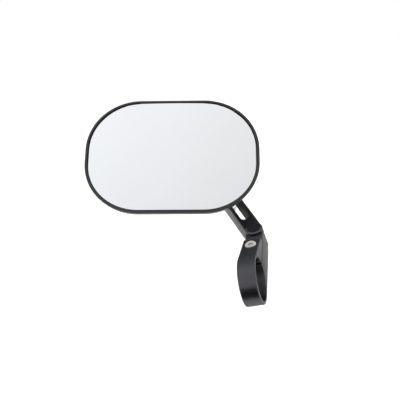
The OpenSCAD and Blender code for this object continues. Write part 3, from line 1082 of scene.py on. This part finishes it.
@dataclass
class LockNut:
    """A hexagon nut with a crimped collar that holds a nylon ring.

    Attributes:
        across_flats: Width across the flats, in millimetres like all sizes here.
        bore_r: Radius of the bore.
        collar_share: Share of the height that the collar takes.
        insert_r: Radius of the collar's mouth.
        chamfer: Chamfer of the hexagon.
        collar_w: Half width of the collar, as a share of the hexagon's.
        crimp_w: Half width of its crimped rim, as a share of the hexagon's.
        crimp: Heights at which the rim's crimp starts and ends.
        overlap: How far the collar reaches into the hexagon.
        seat_depth: Depth of the ring's seat.
        lip: How far the rim holds the ring in.
        ring_low: Height of the ring's face above the rim.
        ring_chamfer: Chamfer of that face.
        gaps: Gaps from the ring to the bore and, with the lip, to the seat.
    """

    across_flats: float = 10.0
    bore_r: float = 3.0
    collar_share: float = 0.3
    insert_r: float = 3.9
    chamfer: float = 0.7
    collar_w: float = 0.9
    crimp_w: float = 0.86
    crimp: tuple[float, float] = (0.25, 0.6)
    overlap: float = 0.5
    seat_depth: float = 0.9
    lip: float = 0.15
    ring_low: float = 0.2
    ring_chamfer: float = 0.15
    gaps: tuple[float, float] = (0.02, 0.02)

    def build(self, axis: StudAxis) -> None:
        """Makes the nut and its ring.

        Args:
            axis: The stud's frame.
        """
        low, high = (h / MM for h in axis.span("lock_nut"))
        shoulder = low + (high - low) * self.collar_share
        nut = hexagon(self.across_flats, shoulder, high, self.chamfer)
        flat = self.across_flats / 2
        wide, top = flat * self.collar_w, shoulder + self.overlap
        collar = turned(
            "collar",
            [(self.insert_r, low), (flat * self.crimp_w, low + self.crimp[0]),
             (wide, low + self.crimp[1]), (wide, top)],
        )
        combine(nut, collar, "UNION")
        combine(nut, turned("bore", [(self.bore_r, low - 1), (self.bore_r, high + 1)]), "DIFFERENCE")
        mouth = self.insert_r - self.lip
        seat = turned("seat", [(mouth, low - 1), (mouth, low + self.seat_depth)])
        combine(nut, seat, "DIFFERENCE")
        nut.name = "chamfered_lock_nut"
        pick(nut)
        bpy.ops.object.shade_smooth_by_angle(angle=math.radians(30))
        nut.data.transform(axis.matrix())
        dress(nut, Body.SLIDER, ZINC, "zinc_plated_steel", "lock_nut")
        inner, outer = self.bore_r + self.gaps[0], mouth - self.gaps[1]
        face, cut = low + self.ring_low, self.ring_chamfer
        ring = turned(
            "nylon_insert",
            [(inner, low + self.seat_depth), (outer, low + self.seat_depth), (outer, face + cut),
             (outer - cut, face), (inner + cut, face), (inner, face + cut)],
            ring=True,
        )
        pick(ring)
        bpy.ops.object.shade_smooth_by_angle(angle=math.radians(50))
        ring.data.transform(axis.matrix())
        dress(ring, Body.SLIDER, NYLON, "nylon")


def dress(
    piece: Piece, body: Body, finish: Finish, slot: str, *nodes: str
) -> Piece:
    """Gives a piece its finish and its body, and hides the frame's pieces that it stands for.

    Args:
        piece: The new piece.
        body: Body that it moves with.
        finish: Its surface finish.
        slot: The record's material slot; not used.
        nodes: Pieces of the frame that it replaces.

    Returns:
        The piece.
    """
    piece.data.materials.clear()
    piece.data.materials.append(finish_of(finish))
    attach(piece, body.value)
    if nodes:
        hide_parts(*nodes)
    log.info("%s: %d faces", piece.name, len(piece.data.polygons))
    return piece


_materials: dict[str, bpy.types.Material] = {}


def finish_of(finish: Finish) -> bpy.types.Material:
    """Builds a finish's material once and returns it after that.

    Args:
        finish: The finish.

    Returns:
        Its material.
    """
    if finish.name not in _materials:
        _materials[finish.name] = finish.material()
    return _materials[finish.name]


@dataclass
class Studio:
    """Pale floor that sweeps up behind the mirror, with soft lights and the camera.

    Attributes:
        floor_drop: How far the floor lies under the mirror, in metres.
        sweep_back: Distance from the mirror to the rising wall.
        sweep_radius: Radius of the sweep.
        half_width: Half the width of the floor.
        ceiling_power: Strength of the wide light overhead.
        wall_height: Height of the wall above the sweep.
        camera_turn: Azimuth of the camera, in degrees.
        camera_roll: Roll of the camera about its own axis, in degrees.
        camera_distance: Distance from the camera to its target.
        lens: Focal length on a 36 mm sensor.
        target: Point in the middle of the view.
        flag_size: Side of the dark card under the mirror.
        flag_place: Middle of that card.
        dark_ceiling: Direction of the darkest part of the ceiling.
    """

    floor_drop: float = 0.62
    sweep_back: float = 1.6
    sweep_radius: float = 0.5
    half_width: float = 30.0
    ceiling_power: float = 0.9
    wall_height: float = 0.5
    camera_turn: float = 14.154
    camera_roll: float = 10.265
    camera_distance: float = 0.6414
    lens: float = 80.91
    target: Vector = field(default_factory=lambda: Vector((-25.25, -8.04, 63.38)) * MM)
    flag_size: float = 0.2
    flag_place: tuple[float, float, float] = (0.0, -0.125, -0.09)
    dark_ceiling: tuple[float, float, float] = (-0.1, 0.45, 0.89)

    def build(self) -> None:
        """Builds the floor, the lights, the surroundings and the camera."""
        bpy.context.scene.view_settings.view_transform = "Standard"
        self.floor()
        self.flag()
        self.surroundings()
        self.lights()
        self.camera()

    def floor(self) -> None:
        """Sweeps a strip of floor up into a wall."""
        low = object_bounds()[0].z - self.floor_drop
        deselect()
        bpy.ops.mesh.primitive_plane_add(size=2, location=(0, 0, low))
        sweep = bpy.context.object
        sweep.name = "studio_sweep"
        sweep.scale = (self.half_width, self.half_width, 1)
        bpy.ops.object.transform_apply(location=True, scale=True)
        bpy.ops.object.mode_set(mode="EDIT")
        bpy.ops.mesh.select_all(action="DESELECT")
        mesh = bmesh.from_edit_mesh(sweep.data)
        for vertex in mesh.verts:
            if vertex.co.y > 0:
                vertex.co.y = self.sweep_back
        for edge in mesh.edges:
            edge.select = all(abs(v.co.y - self.sweep_back) < 1e-6 for v in edge.verts)
        mesh.select_flush_mode()
        bmesh.update_edit_mesh(sweep.data)
        steps = 16
        for step in range(steps):
            turn = math.pi / 2 * (step + 0.5) / steps
            stride = self.sweep_radius * math.pi / 2 / steps
            bpy.ops.mesh.extrude_region_move(
                TRANSFORM_OT_translate={"value": (0, stride * math.cos(turn), stride * math.sin(turn))}
            )
        bpy.ops.mesh.extrude_region_move(TRANSFORM_OT_translate={"value": (0, 0, self.wall_height)})
        bpy.ops.object.mode_set(mode="OBJECT")
        bpy.ops.object.shade_smooth()
        sweep.data.materials.append(
            finish_of(Finish(name="matt_white_paper", colour="f8f6f3", shade="f5f3f0", roughness=0.9,
                             patch_mm=400.0, grain_mm=2.0, grain_depth_mm=0.02))
        )
        sweep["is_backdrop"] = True

    def flag(self) -> None:
        """Lays a dark card under the mirror, which only reflections and shade can see."""
        deselect()
        bpy.ops.mesh.primitive_plane_add(size=self.flag_size, location=self.flag_place)
        card = bpy.context.object
        card.name = "studio_flag"
        card.visible_camera = False
        card.visible_shadow = False
        card.data.materials.append(
            finish_of(Finish(name="black_felt", colour="0a0a0a", shade="0d0d0d", roughness=0.95, ior=1.3,
                             patch_mm=50.0, grain_mm=2.0, grain_depth_mm=0.1))
        )
        card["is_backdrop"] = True

    def surroundings(self) -> None:
        """Lights the set evenly from a white room that is brighter overhead."""
        world = bpy.data.worlds.new("white_room")
        bpy.context.scene.world = world
        world.use_nodes = True
        tree = world.node_tree
        tree.nodes.clear()
        direction = add_node(tree, "ShaderNodeTexCoord").outputs["Generated"]
        split = add_node(tree, "ShaderNodeSeparateXYZ", sockets={0: direction})
        across = ramp(tree, split.outputs["X"], (0.0, 0.45), (0.0, 1.0))
        tint = add_node(
            tree, "ShaderNodeMix", {"data_type": "RGBA"},
            {0: across, 6: linear("f6f9fd"), 7: linear("eaeaeb")},
        ).outputs[2]
        height = ramp(tree, split.outputs["Z"], (0.6, 0.85), (0.97, 1.1))
        towards_dark = add_node(
            tree, "ShaderNodeVectorMath", {"operation": "DOT_PRODUCT"},
            {0: direction, 1: Vector(self.dark_ceiling).normalized()},
        ).outputs["Value"]
        ceiling = ramp(tree, towards_dark, (0.65, 0.95), (1.0, 0.5))
        factors = {0: height, 1: ceiling}
        light = add_node(tree, "ShaderNodeMath", {"operation": "MULTIPLY"}, factors).outputs[0]
        room = add_node(tree, "ShaderNodeBackground", sockets={"Color": tint, "Strength": light}).outputs[0]
        paper = add_node(
            tree, "ShaderNodeBackground", sockets={"Color": linear("ffffff"), "Strength": 1.0}
        ).outputs[0]
        seen = add_node(tree, "ShaderNodeLightPath").outputs["Is Camera Ray"]
        back = add_node(tree, "ShaderNodeMixShader", sockets={0: seen, 1: room, 2: paper})
        add_node(tree, "ShaderNodeOutputWorld", sockets={"Surface": back.outputs[0]})

    def lights(self) -> None:
        """Hangs a key panel in front, a larger panel over the backdrop and a wide light overhead."""
        for name, place, aim, size, power in (
            ("key_panel", (-0.5, -1.7, 0.1), self.target, 1.0, 6.0),
            ("backdrop_panel", (0.0, 0.3, 2.0), Vector((0.0, 2.1, 0.0)), 1.6, 40.0),
        ):
            lamp = bpy.data.lights.new(name, "AREA")
            lamp.size = size
            lamp.energy = power
            self.hang(lamp, Vector(place), aim)
        ceiling = bpy.data.lights.new("ceiling", "SUN")
        ceiling.angle = math.radians(70)
        ceiling.energy = self.ceiling_power
        self.hang(ceiling, Vector((0, 0, 2.5)), Vector((0, 0, 0)))

    @staticmethod
    def hang(lamp: bpy.types.Light, place: Vector, aim: Vector) -> None:
        """Hangs a lamp that lights the set but is not mirrored in it.

        Args:
            lamp: The lamp.
            place: Where it hangs.
            aim: Point that it faces.
        """
        holder = bpy.data.objects.new(lamp.name, lamp)
        holder.location = place
        holder.rotation_euler = (aim - place).to_track_quat("-Z", "Y").to_euler()
        holder.visible_glossy = False
        bpy.context.scene.collection.objects.link(holder)

    def camera(self) -> None:
        """Places the camera at its turn and roll round the target."""
        turn, roll = math.radians(self.camera_turn), math.radians(self.camera_roll)
        back = Vector((math.sin(turn), -math.cos(turn), 0))
        right = Vector((math.cos(turn) * math.cos(roll), math.sin(turn) * math.cos(roll), -math.sin(roll)))
        up = back.cross(right)
        lens = bpy.data.cameras.new("camera")
        lens.sensor_width = 36.0
        lens.lens = self.lens
        lens.clip_start = 0.01
        lens.clip_end = 20.0
        holder = bpy.data.objects.new("camera", lens)
        turned = Matrix((right, up, back)).transposed().to_4x4()
        holder.matrix_world = Matrix.Translation(self.target + back * self.camera_distance) @ turned
        bpy.context.scene.collection.objects.link(holder)
        bpy.context.scene.camera = holder


def main() -> None:
    """Builds the mirror's looks."""
    logging.basicConfig(level=logging.INFO, format="%(name)s: %(message)s")
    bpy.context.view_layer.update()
    for node, body, finish, slot, radius in (
        ("clamp_body", Body.CLAMP, ANODISED, "anodised_aluminium", 0.22),
        ("pivot_cap", Body.ARM, CAP, "cap_plastic", 0.2),
        ("mirror_housing", Body.HEAD, HOUSING, "housing_plastic", 0.2),
        ("socket_ring", Body.HEAD, HOUSING, "housing_plastic", 0.2),
        ("front_washer", Body.SLIDER, STAINLESS, "stainless_steel", 0.15),
        ("rear_washer", Body.SLIDER, STAINLESS, "stainless_steel", 0.15),
        ("pivot_bolt", Body.ARM, STAINLESS, "stainless_steel", 0.1),
        ("pivot_nut", Body.ARM, ZINC, "zinc_plated_steel", 0.1),
        ("guide_block", Body.SLIDER, ACETAL, "washer_polymer", 0.15),
        ("ball_seat_front", Body.SEAT, NYLON, "nylon", 0.0),
        ("ball_seat_rear", Body.SEAT, NYLON, "nylon", 0.0),
        ("glass_pad", Body.HEAD, FOAM, "foam", 0.0),
        ("backing_plate", Body.HEAD, PLATE, "plate_plastic", 0.1),
    ):
        RoundedNode(node, body, finish, slot, radius).build()
    for node, body, radius in (("clamp_screw", Body.CLAMP, 0.1), ("socket_screws", Body.HEAD, 0.06)):
        RoundedNode(node, body, STAINLESS, "stainless_steel", radius, edge_deg=50.0).build()
    for node, finish in (
        ("pivot_bush", BRONZE), ("friction_washers", ACETAL), ("plate_screws", ZINC),
    ):
        mesh = frame["nodes"][node].data
        mesh.materials.clear()
        mesh.materials.append(finish_of(finish))
    head = HeadFrame.read()
    bezel = Bezel("bezel", Body.HEAD, BEZEL, "bezel_plastic", 0.15)
    bezel.paint_lip_shade(bezel.build(), head)
    ConvexGlass().build(head)
    axis = StudAxis.read()
    arm = SlottedArm("slot_arm", Body.ARM, ANODISED, "anodised_aluminium", 0.22)
    arm.paint_slot_shade(arm.build(), axis)
    BallStud().build(axis)
    LockNut().build(axis)
    Studio().build()


if __name__ == "__main__":
    main()
